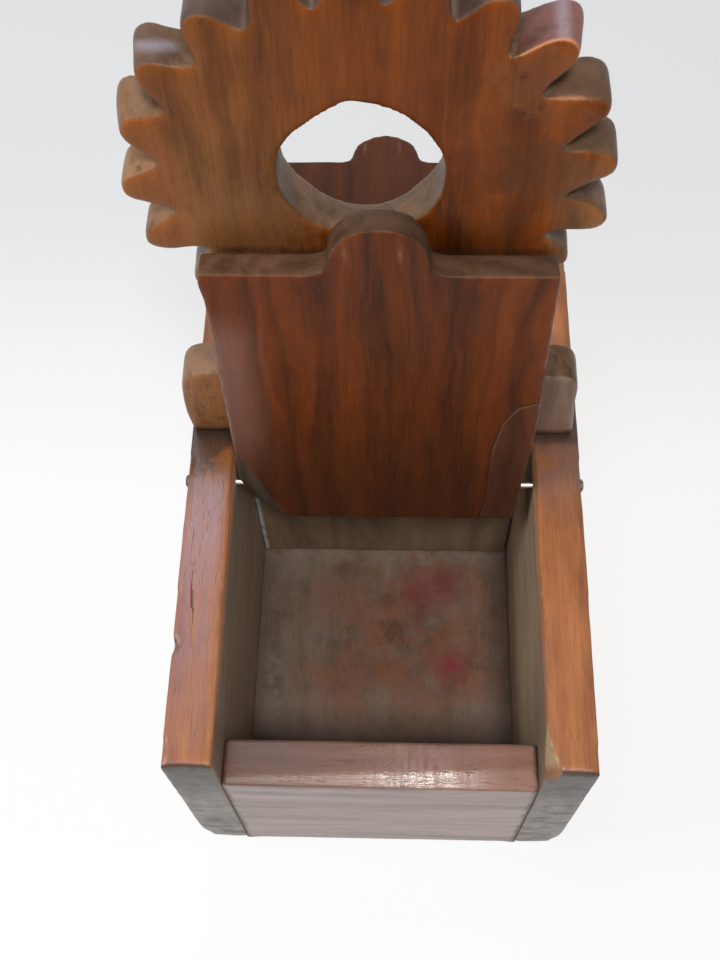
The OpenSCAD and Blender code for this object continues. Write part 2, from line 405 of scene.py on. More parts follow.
def flare_hole(skin):
    """The hole's lower rim flares to the rear."""
    skin.push((225, -5, HANDLE_REAR), (6, 20, 5), (-3.2, 0, 0))


def wear_notches(skin):
    """The notches between the right lobes are cut deeper in front."""
    for height, out, down, inwards in (
        (292.6, 29.2, 2.8, 0.5),
        (278.5, 41.0, 1.2, 3.4),
        (261.5, 48.2, 2.8, 2.8),
        (244.4, 50.0, 2.8, 2.4),
    ):
        skin.push((height, out, HANDLE_FRONT), (4.5, 4.5, 10), (-down, -inwards, 0))


def wear_lobes(skin):
    """Lobes on both sides are cut unevenly, each in its own way."""
    # On the left from the top: two rear edges, a front edge and three whole lobes
    skin.push((284, -59, 7), (9, 8, 9), (2.0, -1.4, 0))
    skin.push((268, -64, 7), (8, 7, 9), (3.2, -1.2, 0))
    skin.push((262, -68, -7), (8, 5, 6), (0, 1.2, 0))
    skin.push((242, -70, 0), (8, 6, RIGHT_THROUGH), (0, -1.2, 0))
    skin.push((221, -64, 0), (8, 6, RIGHT_THROUGH), (-1.3, -3.8, 0))
    skin.push((203, -53, 0), (7, 6, RIGHT_THROUGH), (-2.5, -2.8, 0))
    # On the right from the top: a rear edge and two whole lobes
    skin.push((291, 44, 5), (8, 8, 9), (1.6, 1.8, 0))
    skin.push((231, 59, 0), (8, 6, RIGHT_THROUGH), (-1.5, 2.4, 0))
    skin.push((211, 50, 0), (8, 6, RIGHT_THROUGH), (0.5, 2.8, 0))


def wear_ears(skin):
    """Both ears lean to the left."""
    skin.push((130, -68, 0), (20, 9, RIGHT_THROUGH), (0, -2.6, 0))
    skin.push((142, 69, 0), (20, 10, RIGHT_THROUGH), (0, -2.4, 0))


def wear_handle(skin):
    """The handle board's hole, notches, lobes and ears."""
    wear_hole(skin)
    wear_lobe_fronts(skin)
    flare_hole(skin)
    wear_notches(skin)
    wear_lobes(skin)
    wear_ears(skin)


def lobes(local):
    """1 on the lobes, which use has rounded most, and a little on the ears."""
    height, across = local[:, ALONG], local[:, ACROSS]
    from_centre = np.hypot(height - HEAD_CENTRE[0], across - HEAD_CENTRE[1])
    head = np.clip((from_centre - LOBES_FROM) / LOBES_FADE, 0, 1) * (height > LOBES_ABOVE)
    ears = EARS_BLUNT * (np.abs(across) > EARS_FROM) * (np.abs(height - EARS_HEIGHT) < EARS_HALF)
    return np.maximum(head, ears)


def wear_rear_lid(skin):
    """Soft shoulders beside the tab."""
    skin.push((112, -16.5, 0), (2.5, 2.5, RIGHT_THROUGH), (1.0, -0.6, 0))
    skin.push((112, 13.5, 0), (2.5, 2.5, RIGHT_THROUGH), (1.0, 0.6, 0))


def wear_front_lid(skin):
    """Wood is gone beside both pivots, the left edge stands out, and a crack runs to the right edge."""
    skin.trim((28, -50, 4.9), (-10, -36.7, 4.9), (0, -51.7, 1.2), rough=0.12, seed=11)
    skin.trim((18, 49, 0), (-16, 47, 0), (18, 49, 5), rough=0.1, seed=12)
    skin.push((0, -52.5, 3.0), (2.8, 4.0, 9), (0, 1.0, 0))
    # The left edge, most at its free end
    skin.push((92, -49.5, 0), (45, 5, RIGHT_THROUGH), (0, -1.8, 0))
    skin.push((109, -51.0, 0), (8, 5, RIGHT_THROUGH), (0, -1.5, 0))
    wear_rear_lid(skin)
    crack = [(-17, 34.7), (-3, 36.3), (29, 36.4), (44, 38.8), (52, 43), (55, 50)]
    skin.split(crack, (ALONG, ACROSS))


# Materials

# Millimetres of grain between one board's seed and the next
SEED_STEP = 310.0


class Graph:
    """A material's nodes, by short calls that take values or sockets and return a socket."""

    def __init__(self, name):
        self.material = bpy.data.materials.new(name)
        self.material.use_nodes = True
        self.tree = self.material.node_tree
        self.shader = self.tree.nodes["Principled BSDF"]

    def put(self, socket, value):
        """Links a socket to an input, or gives the input a value."""
        if isinstance(value, bpy.types.NodeSocket):
            self.tree.links.new(value, socket)
        elif socket.type == "RGBA" and len(value) == 3:
            socket.default_value = (*value, 1.0)
        else:
            socket.default_value = value

    def node(self, kind, inputs, output, **settings):
        """A new node with these inputs and settings, and the socket of its output."""
        made = self.tree.nodes.new("ShaderNode" + kind)
        for name, value in settings.items():
            setattr(made, name, value)
        for key, value in inputs.items():
            self.put(made.inputs[key], value)
        return made.outputs[output]

    def maths(self, operation, a, b=0.0, clamp=False):
        return self.node("Math", {0: a, 1: b}, 0, operation=operation, use_clamp=clamp)

    def size(self, value):
        """The value without its sign."""
        return self.maths("ABSOLUTE", value)

    def add(self, a, b):
        return self.maths("ADD", a, b)

    def less(self, a, b):
        return self.maths("SUBTRACT", a, b)

    def times(self, *shares):
        total = shares[0]
        for share in shares[1:]:
            total = self.maths("MULTIPLY", total, share)
        return total

    def step(self, value, low, high):
        """From 0 at low to 1 at high, eased."""
        inputs = {"Value": value, "From Min": low, "From Max": high}
        return self.node("MapRange", inputs, 0, interpolation_type="SMOOTHSTEP")

    def band(self, value, centre, width):
        """1 at the centre, falling to 0 at the width on either side."""
        return self.step(self.size(self.less(value, centre)), width, 0.0)

    def vector(self, operation, a, b):
        return self.node("VectorMath", {0: a, 1: b}, 0, operation=operation)

    def dot(self, a, b):
        return self.node("VectorMath", {0: a, 1: b}, 1, operation="DOT_PRODUCT")

    def far(self, a, b):
        return self.node("VectorMath", {0: a, 1: b}, 1, operation="DISTANCE")

    def split(self, vector):
        made = self.tree.nodes.new("ShaderNodeSeparateXYZ")
        self.put(made.inputs[0], vector)
        return list(made.outputs)

    def mix(self, share, a, b):
        made = self.tree.nodes.new("ShaderNodeMix")
        made.data_type = "RGBA"
        for key, value in zip((0, 6, 7), (share, a, b)):
            self.put(made.inputs[key], value)
        return made.outputs[2]

    def noise(self, place, scale, detail=3.0, rough=0.55):
        inputs = {"Vector": place, "Scale": scale, "Detail": detail, "Roughness": rough}
        return self.node("TexNoise", inputs, 0)

    def mark(self, name):
        """What weathered() left at each point of the mesh under that name."""
        return self.node("Attribute", {}, "Fac", attribute_name=name)


class Wood(Graph):
    """A board's material: its grain, and layers of colour laid over each other."""

    def __init__(self, name, board, seed, pith, pitch, streak, shares):
        super().__init__(name)
        place = self.vector("SUBTRACT", self.node("TexCoord", {}, "Object"), tuple(board.origin))
        parts = {k: self.dot(place, tuple(axis / MM)) for k, axis in enumerate(board.axes)}
        self.place = self.node("CombineXYZ", parts, 0)
        self.along, self.across, self.through = self.split(self.place)
        normal = self.node("TexCoord", {}, "Normal")
        self.facing = [self.dot(normal, tuple(axis)) for axis in board.axes]
        self.arris = self.step(self.mark("edge"), 0.10, 0.45)
        self.figure(seed, pith, pitch, streak, shares)

    def scaled(self, shares):
        """The place, scaled along each axis."""
        return self.vector("MULTIPLY", self.place, shares)

    def drawn(self, place, share):
        """The place with the grain's direction drawn out."""
        return self.vector("MULTIPLY", place, (share, 1.0, 1.0))

    def figure(self, seed, pith, pitch, streak, shares):
        """Rings, streaks, fibres, pores and mottling, and one tone from 0 to 1 by their shares."""
        place = self.vector("ADD", self.place, (seed * SEED_STEP, 0.0, 0.0))
        wander = self.less(self.noise(self.drawn(place, 0.30), 0.045, 3.0), 0.5)
        sway = self.node("CombineXYZ", {1: self.times(wander, 24.0)}, 0)
        swayed = self.vector("ADD", place, sway)
        _, across, through = self.split(swayed)
        across = self.less(across, pith[0])
        through = self.less(through, pith[1])
        square = self.add(self.times(across, across), self.times(through, through))
        wave = self.maths("SINE", self.times(self.maths("SQRT", square), 2 * math.pi / pitch))
        rings = self.add(self.times(wave, 0.5), 0.5)
        streaks = self.noise(self.drawn(swayed, 0.07), 1.0 / streak, 4.0, 0.6)
        self.fibres = self.noise(self.drawn(place, 0.035), 1.1, 5.0, 0.7)
        self.pores = self.step(self.noise(self.drawn(place, 0.10), 2.2, 2.0), 0.60, 0.74)
        self.ragged = self.noise(place, 0.22, 4.0, 0.65)
        mottle = self.noise(self.drawn(place, 0.45), 0.05, 4.0, 0.6)
        tone = 0.5 - sum(shares) / 2
        for part, share in zip((rings, streaks, self.fibres, mottle), shares):
            tone = self.add(self.times(part, share), tone)
        self.tone = self.maths("ADD", tone, 0.0, clamp=True)

    def varnish(self, dark, light, roughness):
        """The first layer, over the whole board."""
        self.colour = self.mix(self.tone, dark, light)
        self.roughness = self.add(self.times(self.fibres, 0.2), roughness - 0.1)

    def coat(self, share, dark, light, roughness=None):
        """A layer of wood of other tones where share is 1."""
        self.colour = self.mix(share, self.colour, self.mix(self.tone, dark, light))
        if roughness is not None:
            under = self.times(self.roughness, self.less(1.0, share))
            self.roughness = self.add(under, self.times(share, roughness))

    def stain(self, share, colour):
        """A layer of one colour where share is 1."""
        self.colour = self.mix(share, self.colour, colour)

    def faces(self, axis, sign, low=0.45, high=0.85):
        """1 where the surface faces along an axis, or along it either way if sign is 0."""
        value = self.facing[axis]
        value = self.times(value, float(sign)) if sign else self.size(value)
        return self.step(value, low, high)

    def torn(self, value, width):
        """The value, made uneven so that what steps over it has a ragged edge."""
        return self.add(value, self.times(self.less(self.ragged, 0.5), width))

    def spot(self, centre, reach, ragged=0.5):
        """1 round a point, with a ragged edge."""
        near = self.times(self.far(self.place, centre), 1 / reach)
        return self.step(self.torn(near, 4.0 * ragged), 1.0, 0.45)

    def finish(self, relief, specular, pore_colour, pore_share=0.35):
        """Lays in the pores and wires up the shader, with a bump whose relief is in millimetres."""
        self.stain(self.times(self.pores, pore_share), pore_colour)
        height = self.add(self.times(self.fibres, 0.7), self.times(self.pores, -0.5))
        height = self.add(height, self.times(self.band(self.mark("crack"), 0.0, 0.7), -2.0))
        bump = {"Strength": 1.0, "Distance": relief * MM, "Height": height}
        self.put(self.shader.inputs["Base Color"], self.colour)
        self.put(self.shader.inputs["Roughness"], self.roughness)
        self.put(self.shader.inputs["Normal"], self.node("Bump", bump, 0))
        self.shader.inputs["Specular IOR Level"].default_value = specular
        return self.material


# A dark for grime in cracks and the nick, also used for painted shade and painted shadows where boards meet
GRIME_AND_SHADE = (0.035, 0.022, 0.015)
# Height where the open front lid's end comes near the handle board
LID_TOUCH = 217.8


def side_wood(name, seed, inward, sheen_and_bloom):
    """Orange varnish on the top and outer face, with painted reflections on the top, grey end grain and a
    bare, dusty inside with painted shade.
    """
    pith = (60.0, inward * 30.0)
    wood = Wood(name, SIDE, seed, pith, pitch=7.0, streak=5.0, shares=(0.15, 1.5, 0.9, 1.2))
    wood.varnish((0.24, 0.075, 0.024), (0.55, 0.205, 0.066), roughness=0.28)
    top = wood.faces(ACROSS, 1)
    side_painted_reflection(wood, top, inward, sheen_and_bloom)
    side_near_ear(wood, top, inward, sheen_and_bloom)
    wood.stain(wood.times(wood.arris, 0.5), (0.46, 0.15, 0.035))
    wood.roughness = wood.add(wood.roughness, wood.times(wood.arris, 0.35))
    side_ends(wood)
    side_inside(wood, inward, sheen_and_bloom)
    side_outside(wood, inward, sheen_and_bloom)
    broken_corner(wood)
    wood.stain(wood.times(wood.band(wood.mark("crack"), 0.0, 0.7), top, 0.85), GRIME_AND_SHADE)
    return wood.finish(relief=0.12, specular=0.5, pore_colour=(0.14, 0.05, 0.02))


def side_painted_reflection(wood, top, inward, sheen_and_bloom):
    """A painted lilac reflection on the top in front of the handle board, with a paler painted sheen
    further back, but not along the inner edge.
    """
    off_edge = wood.step(wood.times(wood.through, -float(inward)), 55.0, 59.0)
    forward = wood.step(wood.along, -23.0, -29.0)
    # Painted reflection: a lilac cast from the front, then a paler painted sheen
    reflection_haze = wood.times(wood.step(wood.along, -170.0, -60.0), wood.step(wood.tone, 1.1, 0.1))
    wood.stain(wood.times(top, forward, off_edge, reflection_haze, sheen_and_bloom), (0.38, 0.215, 0.25))
    sheen = wood.times(wood.step(wood.along, -78.0, -34.0), forward, top, off_edge)
    wood.stain(wood.times(sheen, sheen_and_bloom, 0.7), (0.42, 0.29, 0.345))


def side_near_ear(wood, top, inward, sheen_and_bloom):
    """The top darkens towards the handle board's ear in grime, painted shade and its painted reflection,
    with a worn spot and a painted shadow at the ear's foot.
    """
    # Grime with painted shade and a painted reflection of the ear, growing towards it
    from_ear = wood.torn(wood.size(wood.along), 14.0)
    wood.stain(wood.times(wood.step(from_ear, 50.0, 10.0), top, 0.45 + 0.5 * sheen_and_bloom), (0.105, 0.036, 0.014))
    wood.stain(wood.times(wood.step(from_ear, 36.0, 22.0), top, 0.4 - 0.8 * sheen_and_bloom), (0.26, 0.145, 0.125))
    wood.stain(wood.times(wood.step(from_ear, 27.0, 19.0), top, 0.1 + 1.3 * sheen_and_bloom), (0.050, 0.024, 0.014))
    rubbed_and_painted = wood.spot((-18.5, 112.5, inward * -56.0), 6.0)
    wood.stain(wood.times(rubbed_and_painted, top, 0.6), (0.36, 0.13, 0.03))
    # Painted shadow under the ear's overhang
    foot = wood.step(wood.size(wood.along), 12.5, 9.0)
    wood.stain(wood.times(foot, top, 0.8), GRIME_AND_SHADE)


def side_ends(wood):
    """Grey end grain with saw strokes, darker at the top, browner at the rear, and dark round its arris."""
    ends = wood.faces(ALONG, 0)
    lip = wood.faces(ALONG, 0, 0.15, 0.45)
    wood.stain(wood.times(lip, 0.85), (0.060, 0.020, 0.012))
    wood.roughness = wood.add(wood.roughness, wood.times(lip, 0.4))
    wood.coat(ends, (0.18, 0.161, 0.145), (0.40, 0.367, 0.34), roughness=0.55)
    wood.stain(wood.times(ends, wood.step(wood.along, 0.0, 10.0), 0.55), (0.31, 0.22, 0.16))
    wood.stain(wood.times(ends, wood.step(wood.across, 58.0, 98.0), 0.75), (0.100, 0.086, 0.076))
    for stretch, scale, share in ((0.45, 0.16, 0.7), (0.28, 0.36, 0.6)):
        strokes = wood.noise(wood.scaled((1.0, 1.0, stretch)), scale, 4.0, 0.6)
        wood.stain(wood.times(ends, wood.step(strokes, 0.54, 0.66), share), (0.065, 0.056, 0.048))
    top_line = wood.band(wood.size(wood.facing[ALONG]), 0.55, 0.40)
    top_line = wood.times(top_line, wood.faces(ACROSS, 1, 0.25, 0.55))
    wood.stain(wood.times(top_line, 0.8), (0.050, 0.019, 0.012))


def side_inside(wood, inward, sheen_and_bloom):
    """Bare wood under a dusty film, with painted shade low down and in the corners, and a varnished arris.
    """
    inside = wood.faces(THROUGH, inward)
    wood.coat(inside, (0.30, 0.220, 0.15), (0.62, 0.465, 0.32), roughness=0.6)
    # Painted shade low down and towards both ends of the inside
    low_down = wood.step(wood.across, 70.0, 0.0)
    deep = wood.add(low_down, wood.step(wood.size(wood.along), 75.0, 125.0))
    wood.stain(wood.times(inside, wood.maths("MINIMUM", deep, 1.0), 0.7), (0.115, 0.079, 0.055))
    wood.stain(wood.times(inside, sheen_and_bloom), (0.44, 0.355, 0.28))
    wood.stain(wood.times(inside, wood.step(wood.along, -104.0, -118.0), sheen_and_bloom), (0.15, 0.066, 0.045))
    inner_arris = wood.times(wood.faces(THROUGH, inward, 0.2, 0.5), wood.faces(ACROSS, 1, 0.1, 0.4))
    wood.stain(wood.times(inner_arris, 0.7), (0.22, 0.075, 0.025))


def side_outside(wood, inward, sheen_and_bloom):
    """Scuffs along the outer face, a dirty foot and grime in the nick."""
    outer = wood.faces(THROUGH, -inward)
    scuffs = wood.noise(wood.scaled((0.25, 1.0, 1.0)), 0.11, 5.0, 0.65)
    wood.stain(wood.times(outer, wood.step(scuffs, 0.52, 0.68), 0.5), (0.10, 0.035, 0.014))
    wood.stain(wood.times(outer, wood.step(wood.across, 18.0, 0.0), 0.6), (0.075, 0.036, 0.022))
    wood.stain(wood.times(wood.spot((-88.0, 112.0, inward * -70.0), 3.0), sheen_and_bloom), GRIME_AND_SHADE)


def broken_corner(wood):
    """The front corner's split face, paler behind its front end."""
    corner = wood.times(wood.step(wood.along, -110.0, -116.0), wood.step(wood.mark("cut"), 0.1, 0.5))
    wood.coat(corner, (0.16, 0.066, 0.022), (0.36, 0.165, 0.064), roughness=0.45)
    pale = wood.times(corner, wood.step(wood.along, -127.5, -123.5), wood.step(wood.ragged, 0.25, 0.50))
    wood.stain(wood.times(pale, 0.6), (0.52, 0.40, 0.24))


def cross_wood(name, seed, outward):
    """Front or rear board: a greyed outer face, a browner top and a grimy inside."""
    wood = Wood(name, CROSS, seed, (35.0, 45.0), pitch=6.0, streak=4.0, shares=(0.25, 1.2, 1.0, 0.9))
    wood.varnish((0.20, 0.146, 0.130), (0.55, 0.425, 0.392), roughness=0.45)
    if outward < 0:
        wood.stain(0.4, (0.36, 0.24, 0.165))
    cross_top(wood, outward)
    wood.coat(wood.faces(THROUGH, -outward), (0.15, 0.105, 0.07), (0.32, 0.23, 0.155), roughness=0.6)
    wood.stain(wood.times(wood.arris, 0.7), (0.20, 0.055, 0.028))
    seams = wood.step(wood.torn(wood.size(wood.along), 5.0), 50.8, 52.6)
    wood.stain(wood.times(seams, 0.85), (0.050, 0.027, 0.020))
    # A dark bottom edge with painted contact shadow, where the board stands on the floor
    wood.stain(wood.step(wood.across, 1.6, 0.2), GRIME_AND_SHADE)
    return wood.finish(relief=0.15, specular=0.5, pore_colour=(0.07, 0.045, 0.035))


def cross_top(wood, outward):
    """A patchy brown top, darker on the left, with a shiny stretch right of the middle under a painted
    highlight glow.
    """
    top = wood.faces(ACROSS, 1, 0.4, 0.75)
    wood.coat(top, (0.15, 0.066, 0.048), (0.33, 0.165, 0.122), roughness=0.32)
    patches = wood.step(wood.noise(wood.scaled((0.5, 1.0, 1.0)), 0.12, 4.0), 0.48, 0.66)
    wood.stain(wood.times(top, patches, 0.5), (0.20, 0.078, 0.036))
    near_edge = wood.times(top, wood.step(wood.times(wood.through, float(outward)), 119.0, 127.0))
    wood.stain(wood.times(near_edge, 0.35), (0.26, 0.105, 0.060))
    left = wood.times(top, wood.step(wood.along, 20.0, -45.0))
    wood.stain(wood.times(left, 0.40), (0.10, 0.060, 0.050))
    right = wood.times(top, wood.step(wood.along, 24.0, 46.0))
    wood.stain(wood.times(right, 0.15), (0.27, 0.125, 0.060))
    scuffs = wood.noise(wood.scaled((1.0, 0.12, 0.12)), 0.8, 3.0, 0.6)
    # Painted highlight glow, broken by scuffs, over the shiny stretch
    rubbed_and_painted = wood.times(top, wood.band(wood.along, 15.0, 26.0), wood.step(scuffs, 0.30, 0.62))
    wood.stain(wood.times(rubbed_and_painted, wood.step(wood.through, 108.0, 127.0), 0.4), (0.50, 0.37, 0.35))
    shine = wood.times(wood.band(wood.along, 15.0, 30.0), wood.step(scuffs, 0.36, 0.60))
    shine = wood.times(shine, wood.faces(ACROSS, 1, 0.2, 0.5))
    wood.roughness = wood.less(wood.roughness, wood.times(shine, 0.19))
    wood.roughness = wood.add(wood.roughness, wood.times(right, 0.2))


def handle_wood(name, seed):
    """Mottled orange varnish above the box, grey-brown end grain and a bare part inside it."""
    wood = Wood(name, HANDLE, seed, (-20.0, 60.0), pitch=9.0, streak=8.0, shares=(0.2, 1.6, 0.9, 1.7))
    wood.varnish((0.068, 0.013, 0.001), (0.28, 0.067, 0.007), roughness=0.36)
    handle_face(wood)
    ends = wood.faces(THROUGH, 0, 0.85, 0.30)
    right = wood.step(wood.across, 20.0, 50.0)
    handle_ends(wood, ends, right)
    upper_lobes(wood, ends)
    handle_edges(wood)
    handle_ears(wood, ends, right)
    hollows = wood.step(wood.mark("edge"), -0.15, -0.45)
    wood.stain(wood.times(hollows, 0.5), (0.34, 0.23, 0.15))
    handle_foot(wood)
    return wood.finish(relief=0.12, specular=0.16, pore_colour=(0.05, 0.016, 0.006))


def handle_face(wood):
    """The face is golden on the left, with lighter and darker places."""
    golden = wood.step(wood.across, 0.0, -50.0)
    golden = wood.times(golden, wood.add(wood.times(wood.step(wood.along, 285.0, 245.0), 0.5), 0.5))
    wood.coat(golden, (0.135, 0.048, 0.011), (0.385, 0.150, 0.038))
    # Painted light: a lighter patch low on the left, against the shade of the open lid
    wood.stain(wood.times(wood.spot((229.0, -38.0, -7.0), 22.0, 0.3), 0.35), (0.31, 0.145, 0.058))
    wood.stain(wood.times(wood.spot((255.0, 31.0, -7.0), 20.0), 0.25), (0.075, 0.016, 0.003))
    for centre in ((250.0, 40.0, -7.0), (223.0, 32.0, -7.0)):
        wood.stain(wood.times(wood.spot(centre, 15.0), 0.3), (0.070, 0.038, 0.017))
    wood.stain(wood.times(wood.spot((281.0, 37.0, -7.0), 14.0), 0.45), (0.30, 0.105, 0.030))
    wood.stain(wood.times(wood.step(wood.across, -48.0, -62.0), 0.35), (0.42, 0.115, 0.026))
    low_right = wood.times(wood.step(wood.across, 42.0, 54.0), wood.step(wood.along, 268.0, 236.0))
    wood.coat(wood.times(low_right, 0.8), (0.16, 0.062, 0.017), (0.47, 0.195, 0.066))


def handle_ends(wood, ends, right):
    """End grain, darker high on the right and on the crown, and paler low on the left."""
    wood.coat(ends, (0.082, 0.042, 0.020), (0.265, 0.152, 0.085), roughness=0.34)
    high = wood.add(wood.times(wood.step(wood.along, 225.0, 270.0), 0.45), 0.05)
    wood.stain(wood.times(ends, right, high), (0.085, 0.048, 0.030))
    low_left = wood.times(wood.step(wood.across, -44.0, -54.0), wood.band(wood.along, 242.0, 44.0))
    worn = wood.step(wood.ragged, 0.28, 0.52)
    wood.stain(wood.times(ends, low_left, worn, 0.6), (0.46, 0.235, 0.118))
    wood.stain(wood.times(ends, wood.spot((231.0, 58.0, 0.0), 10.0), 0.4), (0.28, 0.155, 0.082))
    crown = wood.step(wood.along, 286.0, 296.0)
    wood.stain(wood.times(ends, crown, 0.6), (0.064, 0.047, 0.052))


def upper_lobes(wood, ends):
    """The upper right lobe's end is red with a painted highlight streak, and the upper left one's dark with
    a glint.
    """
    right_lobe = wood.times(wood.spot((289.0, 43.0, 0.0), 13.0, 0.3), ends)
    wood.stain(wood.times(right_lobe, 0.7), (0.34, 0.140, 0.130))
    # Painted highlight: a pale streak across the red end
    wood.stain(wood.times(right_lobe, wood.band(wood.across, 41.0, 3.0), 0.6), (0.42, 0.36, 0.40))
    left_lobe = wood.times(wood.spot((284.0, -58.0, 0.0), 13.0, 0.3), ends)
    wood.stain(wood.times(left_lobe, 0.5), (0.11, 0.066, 0.055))
    slope = wood.add(wood.times(wood.along, 0.8), wood.times(wood.through, 0.6))
    glint = wood.times(wood.band(slope, 228.4, 2.2), wood.spot((287.0, -55.0, -2.0), 8.0, 0.3))
    wood.stain(wood.times(glint, ends, 0.55), (0.36, 0.34, 0.39))


def handle_edges(wood):
    """Orange arrises, with painted orange highlights on the front ridges of two right lobes."""
    wood.stain(wood.times(wood.arris, 0.22), (0.38, 0.115, 0.025))
    lit_ridge = wood.band(wood.size(wood.facing[THROUGH]), 0.55, 0.28)
    # Painted highlights along the front ridges
    for height, out, reach, share in ((291.3, 38.5, 11.0, 0.75), (275.5, 43.0, 8.0, 0.35)):
        worn = wood.times(wood.spot((height, out, -6.5), reach, 0.4), lit_ridge)
        wood.stain(wood.times(worn, share), (0.82, 0.33, 0.14))


def handle_ears(wood, ends, right):
    """Ears with dark flecks, the left one paler."""
    ear = wood.times(wood.step(wood.size(wood.across), 52.0, 56.0), wood.step(wood.along, 165.0, 155.0))
    left = wood.less(1.0, right)
    wood.coat(wood.times(ear, left, 0.8), (0.20, 0.080, 0.024), (0.55, 0.26, 0.11))
    wood.stain(wood.times(ear, ends, left, 0.55), (0.25, 0.17, 0.13))
    wood.stain(wood.times(ear, wood.step(wood.ragged, 0.50, 0.68), 0.5), (0.080, 0.040, 0.020))


def handle_foot(wood):
    """The bare part inside the box, the right ear's grey front, painted shadow where the lid's end and the
    sides' tops come near, and a pale seam.
    """
    inside = wood.step(wood.along, 115.0, 111.0)
    wood.coat(inside, (0.14, 0.098, 0.065), (0.30, 0.215, 0.145), roughness=0.6)
    grey = wood.times(wood.spot((136.0, 58.0, -7.0), 30.0, 0.3), wood.step(wood.across, 30.0, 50.0))
    grey = wood.times(grey, wood.faces(THROUGH, -1, 0.25, 0.60))
    wood.coat(wood.times(grey, 0.8), (0.19, 0.13, 0.105), (0.40, 0.285, 0.24))
    # Painted shadow on the face just above the open lid's end
    behind_lid = wood.times(wood.band(wood.along, LID_TOUCH, 2.8), wood.faces(THROUGH, -1))
    rubbed_and_painted = wood.times(wood.step(wood.ragged, 0.30, 0.56), wood.step(wood.size(wood.across), 52.0, 44.0))
    wood.stain(wood.times(behind_lid, rubbed_and_painted, 0.65), GRIME_AND_SHADE)
    # Painted shadow where the sides' tops meet the handle board
    box_edge = wood.times(wood.step(wood.along, 119.0, 115.5), wood.step(wood.along, 111.0, 113.0))
    wood.stain(wood.times(box_edge, 0.8), GRIME_AND_SHADE)
    seam = wood.times(wood.band(wood.across, -52.0, 2.0), wood.step(wood.along, 66.0, 58.0), inside)
    wood.stain(wood.times(seam, wood.step(wood.ragged, 0.28, 0.50)), (0.60, 0.66, 0.70))


def lid_wood(name, seed, board):
    """Dark red varnish with flame-like streaks and grey-brown end grain."""
    wood = Wood(name, board, seed, (12.0, 60.0), pitch=6.5, streak=4.5, shares=(0.35, 1.5, 0.7, 0.7))
    wood.varnish((0.055, 0.017, 0.007), (0.23, 0.052, 0.010), roughness=0.36)
    # Painted shade: the rear lid is darker all over than the front lid
    if board is REAR_LID:
        wood.stain(0.45, (0.045, 0.018, 0.010))
    lid_face(wood)
    lid_ends(wood)
    lid_edges(wood)
    return wood.finish(relief=0.12, specular=0.15, pore_colour=(0.035, 0.013, 0.007))


def lid_face(wood):
    """A painted reflection along the left, painted shade darkening the foot, and duller wood beyond the
    crack.
    """
    # Painted reflection along the left edge
    reflection_haze = wood.times(wood.step(wood.across, -33.0, -48.0), wood.step(wood.along, 0.0, 40.0))
    reflection_haze = wood.times(reflection_haze, wood.step(wood.along, 100.0, 80.0))
    wood.stain(wood.times(reflection_haze, 0.65), (0.30, 0.155, 0.115))
    # Painted shade towards the pivot end
    foot = wood.step(wood.along, 75.0, -10.0)
    wood.stain(wood.times(foot, 0.55), (0.062, 0.026, 0.014))
    crack = wood.mark("crack")
    beyond = wood.times(wood.step(crack, -0.2, 0.2), wood.step(crack, 60.0, 50.0))
    wood.coat(wood.times(beyond, 0.5), (0.065, 0.030, 0.019), (0.14, 0.062, 0.040))
    lit = wood.times(wood.band(crack, 0.35, 0.7), wood.step(wood.along, 14.0, 32.0))
    wood.stain(wood.times(lit, 0.4), (0.20, 0.12, 0.08))
    wood.stain(wood.times(wood.band(crack, -0.35, 0.6), 0.7), GRIME_AND_SHADE)


def lid_ends(wood):
    """End grain, with painted shadow along the outer face, and darker to the right and on the tab."""
    ends = wood.faces(THROUGH, 0, 0.80, 0.35)
    wood.coat(ends, (0.075, 0.037, 0.019), (0.18, 0.098, 0.058), roughness=0.45)
    # Painted shadow along the outer face's edge
    wood.stain(wood.times(ends, wood.step(wood.through, -4.0, -4.8), 0.6), GRIME_AND_SHADE)
    wood.stain(wood.times(ends, wood.step(wood.across, 0.0, 45.0), 0.4), (0.050, 0.032, 0.022))
    wood.stain(wood.times(ends, wood.step(wood.along, 113.0, 120.0), 0.3), (0.045, 0.025, 0.015))


def lid_edges(wood):
    """Arrises worn pale, most at the free end and beside the tab, raw cuts and two scrapes on the tab."""
    wood.stain(wood.times(wood.arris, 0.4), (0.23, 0.145, 0.125))
    rubbed_end = wood.times(wood.arris, wood.step(wood.along, 100.0, 108.0))
    wood.stain(wood.times(rubbed_end, 0.45), (0.30, 0.235, 0.23))
    rubbed_tab = wood.times(wood.arris, wood.spot((118.0, -15.0, 5.0), 9.0))
    wood.stain(wood.times(rubbed_tab, 0.6), (0.42, 0.32, 0.29))
    raw = wood.step(wood.mark("cut"), 0.1, 0.5)
    wood.coat(raw, (0.045, 0.031, 0.022), (0.12, 0.085, 0.062), roughness=0.6)
    for across in (-10.5, 4.5):
        scrape = wood.times(wood.band(wood.across, across, 1.2), wood.band(wood.along, 121.0, 6.0))
        wood.stain(wood.times(scrape, wood.step(wood.ragged, 0.35, 0.60), 0.45), (0.30, 0.17, 0.10))


def floor_wood(name, seed):
    """A bare grey board, stained orange and red by what it held."""
    wood = Wood(name, FLOOR, seed, (-10.0, 40.0), pitch=8.0, streak=6.0, shares=(0.2, 1.0, 0.8, 1.0))
    wood.varnish((0.112, 0.082, 0.063), (0.265, 0.198, 0.158), roughness=0.6)
    floor_stains(wood)
    floor_dust(wood)
    return wood.finish(relief=0.15, specular=0.3, pore_colour=(0.04, 0.03, 0.022))


